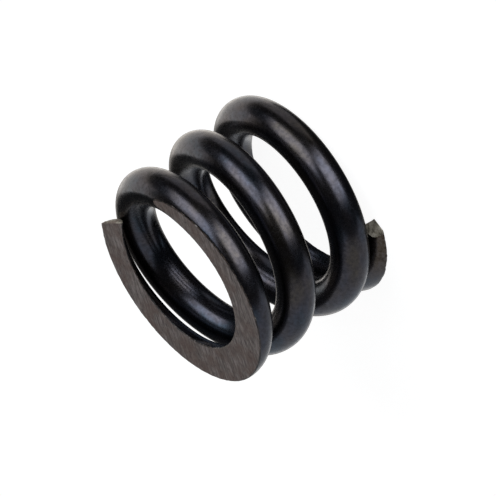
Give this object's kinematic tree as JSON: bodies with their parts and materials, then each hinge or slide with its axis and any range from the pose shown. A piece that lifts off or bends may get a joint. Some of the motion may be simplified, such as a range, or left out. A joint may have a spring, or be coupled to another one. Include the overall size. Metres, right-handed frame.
{
  "type": "coil spring",
  "caption": "Short compression spring of thick round wire, wound left-handed, with closed ends ground flat and a blackened finish; it shortens along its axis under load.",
  "frame": {"origin": "coil axis at the plane of the lower ground face, which is the centre of the bottom of the object's box", "axes": "+Z along the coil axis from the lower ground face to the upper one; +X points to the wire's lower tip"},
  "size_m": [0.0386, 0.0385, 0.0282],
  "materials": {
    "blackened_wire": "satin black oxide over drawn wire, with the two end faces ground to a warm grey"
  },
  "bodies": {
    "lower_end_coil": {"lower_end_coil": "blackened_wire"},
    "wire_length_01": {"wire_length_01": "blackened_wire"},
    "wire_length_02": {"wire_length_02": "blackened_wire"},
    "wire_length_03": {"wire_length_03": "blackened_wire"},
    "wire_length_04": {"wire_length_04": "blackened_wire"},
    "wire_length_05": {"wire_length_05": "blackened_wire"},
    "wire_length_06": {"wire_length_06": "blackened_wire"},
    "wire_length_07": {"wire_length_07": "blackened_wire"},
    "wire_length_08": {"wire_length_08": "blackened_wire"},
    "wire_length_09": {"wire_length_09": "blackened_wire"},
    "wire_length_10": {"wire_length_10": "blackened_wire"},
    "wire_length_11": {"wire_length_11": "blackened_wire"},
    "wire_length_12": {"wire_length_12": "blackened_wire"},
    "wire_length_13": {"wire_length_13": "blackened_wire"},
    "wire_length_14": {"wire_length_14": "blackened_wire"},
    "wire_length_15": {"wire_length_15": "blackened_wire"},
    "wire_length_16": {"wire_length_16": "blackened_wire"},
    "upper_end_coil": {"upper_end_coil": "blackened_wire"}
  },
  "joints": [
    {"name": "compression", "type": "slide", "parent": "lower_end_coil", "child": "upper_end_coil", "axis": [0, 0, -1], "range_m": [0, 0.0055], "stiffness_N_per_m": 380000},
    {"name": "wire_flex_01", "type": "hinge", "parent": "lower_end_coil", "child": "wire_length_01", "pos_m": [0.00726, 0.01426, 0.00336], "axis": [0.7677, 0.6323, 0.1041], "range_deg": [0, 0.467], "stiffness_Nm_per_rad": 0.3, "springref_deg": -1.03},
    {"name": "wire_flex_02", "type": "hinge", "parent": "wire_length_01", "child": "wire_length_02", "pos_m": [0.01501, 0.00554, 0.00435], "axis": [0.8661, -0.4973, 0.0501], "range_deg": [0, 0.652], "stiffness_Nm_per_rad": 0.3, "springref_deg": -1.97},
    {"name": "wire_flex_03", "type": "hinge", "parent": "wire_length_02", "child": "wire_length_03", "pos_m": [0.01478, -0.00612, 0.00553], "axis": [0.0685, -0.9976, 0.0109], "range_deg": [0, 0.917], "stiffness_Nm_per_rad": 0.3, "springref_deg": -2.17},
    {"name": "wire_flex_04", "type": "hinge", "parent": "wire_length_03", "child": "wire_length_04", "pos_m": [0.0067, -0.01453, 0.00687], "axis": [-0.7183, -0.6957, -0.0058], "range_deg": [0, 1.22], "stiffness_Nm_per_rad": 0.3, "springref_deg": -2.02},
    {"name": "wire_flex_05", "type": "hinge", "parent": "wire_length_04", "child": "wire_length_05", "pos_m": [-0.00494, -0.01522, 0.00831], "axis": [-0.9989, 0.0475, -0.0061], "range_deg": [0, 1.53], "stiffness_Nm_per_rad": 0.3, "springref_deg": -1.74},
    {"name": "wire_flex_06", "type": "hinge", "parent": "wire_length_05", "child": "wire_length_06", "pos_m": [-0.01396, -0.00782, 0.00976], "axis": [-0.4864, 0.8737, 0.0026], "range_deg": [0, 1.64], "stiffness_Nm_per_rad": 0.3, "springref_deg": -1.45},
    {"name": "wire_flex_07", "type": "hinge", "parent": "wire_length_06", "child": "wire_length_07", "pos_m": [-0.01556, 0.00374, 0.0112], "axis": [0.2339, 0.9721, 0.0162], "range_deg": [0, 1.64], "stiffness_Nm_per_rad": 0.3, "springref_deg": -1.3},
    {"name": "wire_flex_08", "type": "hinge", "parent": "wire_length_07", "child": "wire_length_08", "pos_m": [-0.00889, 0.0133, 0.01265], "axis": [0.8311, 0.5555, 0.0281], "range_deg": [0, 1.64], "stiffness_Nm_per_rad": 0.3, "springref_deg": -1.25},
    {"name": "wire_flex_09", "type": "hinge", "parent": "wire_length_08", "child": "wire_length_09", "pos_m": [0.0025, 0.0158, 0.0141], "axis": [0.9871, -0.1566, 0.0318], "range_deg": [0, 1.64], "stiffness_Nm_per_rad": 0.3, "springref_deg": -1.25},
    {"name": "wire_flex_10", "type": "hinge", "parent": "wire_length_09", "child": "wire_length_10", "pos_m": [0.01257, 0.00991, 0.01555], "axis": [0.6186, -0.7853, 0.0255], "range_deg": [0, 1.64], "stiffness_Nm_per_rad": 0.3, "springref_deg": -1.22},
    {"name": "wire_flex_11", "type": "hinge", "parent": "wire_length_10", "child": "wire_length_11", "pos_m": [0.01595, -0.00126, 0.017], "axis": [-0.0775, -0.9969, 0.0125], "range_deg": [0, 1.64], "stiffness_Nm_per_rad": 0.3, "springref_deg": -1.09},
    {"name": "wire_flex_12", "type": "hinge", "parent": "wire_length_11", "child": "wire_length_12", "pos_m": [0.01086, -0.01175, 0.01845], "axis": [-0.732, -0.6813, -0.0004], "range_deg": [0, 1.64], "stiffness_Nm_per_rad": 0.3, "springref_deg": -0.86},
    {"name": "wire_flex_13", "type": "hinge", "parent": "wire_length_12", "child": "wire_length_13", "pos_m": [0, -0.016, 0.0199], "axis": [-0.9648, 0.2631, -0.0068], "range_deg": [0, 1.53], "stiffness_Nm_per_rad": 0.3, "springref_deg": -0.44},
    {"name": "wire_flex_14", "type": "hinge", "parent": "wire_length_13", "child": "wire_length_14", "pos_m": [-0.01086, -0.01175, 0.02133], "axis": [-0.4674, 0.8841, -0.003], "range_deg": [0, 1.22], "stiffness_Nm_per_rad": 0.3, "springref_deg": -0.29},
    {"name": "wire_flex_15", "type": "hinge", "parent": "wire_length_14", "child": "wire_length_15", "pos_m": [-0.01595, -0.00126, 0.02268], "axis": [0.376, 0.9265, 0.0174], "range_deg": [0, 0.917], "stiffness_Nm_per_rad": 0.3, "springref_deg": -0.29},
    {"name": "wire_flex_16", "type": "hinge", "parent": "wire_length_15", "child": "wire_length_16", "pos_m": [-0.01257, 0.00991, 0.02386], "axis": [0.9775, 0.2026, 0.0581], "range_deg": [0, 0.655], "stiffness_Nm_per_rad": 0.3, "springref_deg": -0.29}
  ],
  "couplings": [
    {"joint": "wire_flex_01", "follows": "compression", "rad_per_m": 1.4759},
    {"joint": "wire_flex_02", "follows": "compression", "rad_per_m": 2.063},
    {"joint": "wire_flex_03", "follows": "compression", "rad_per_m": 2.9042},
    {"joint": "wire_flex_04", "follows": "compression", "rad_per_m": 3.8545},
    {"joint": "wire_flex_05", "follows": "compression", "rad_per_m": 4.8458},
    {"joint": "wire_flex_06", "follows": "compression", "rad_per_m": 5.1922},
    {"joint": "wire_flex_07", "follows": "compression", "rad_per_m": 5.19},
    {"joint": "wire_flex_08", "follows": "compression", "rad_per_m": 5.1843},
    {"joint": "wire_flex_09", "follows": "compression", "rad_per_m": 5.1826},
    {"joint": "wire_flex_10", "follows": "compression", "rad_per_m": 5.187},
    {"joint": "wire_flex_11", "follows": "compression", "rad_per_m": 5.1932},
    {"joint": "wire_flex_12", "follows": "compression", "rad_per_m": 5.1926},
    {"joint": "wire_flex_13", "follows": "compression", "rad_per_m": 4.8408},
    {"joint": "wire_flex_14", "follows": "compression", "rad_per_m": 3.8484},
    {"joint": "wire_flex_15", "follows": "compression", "rad_per_m": 2.9034},
    {"joint": "wire_flex_16", "follows": "compression", "rad_per_m": 2.071}
  ]
}
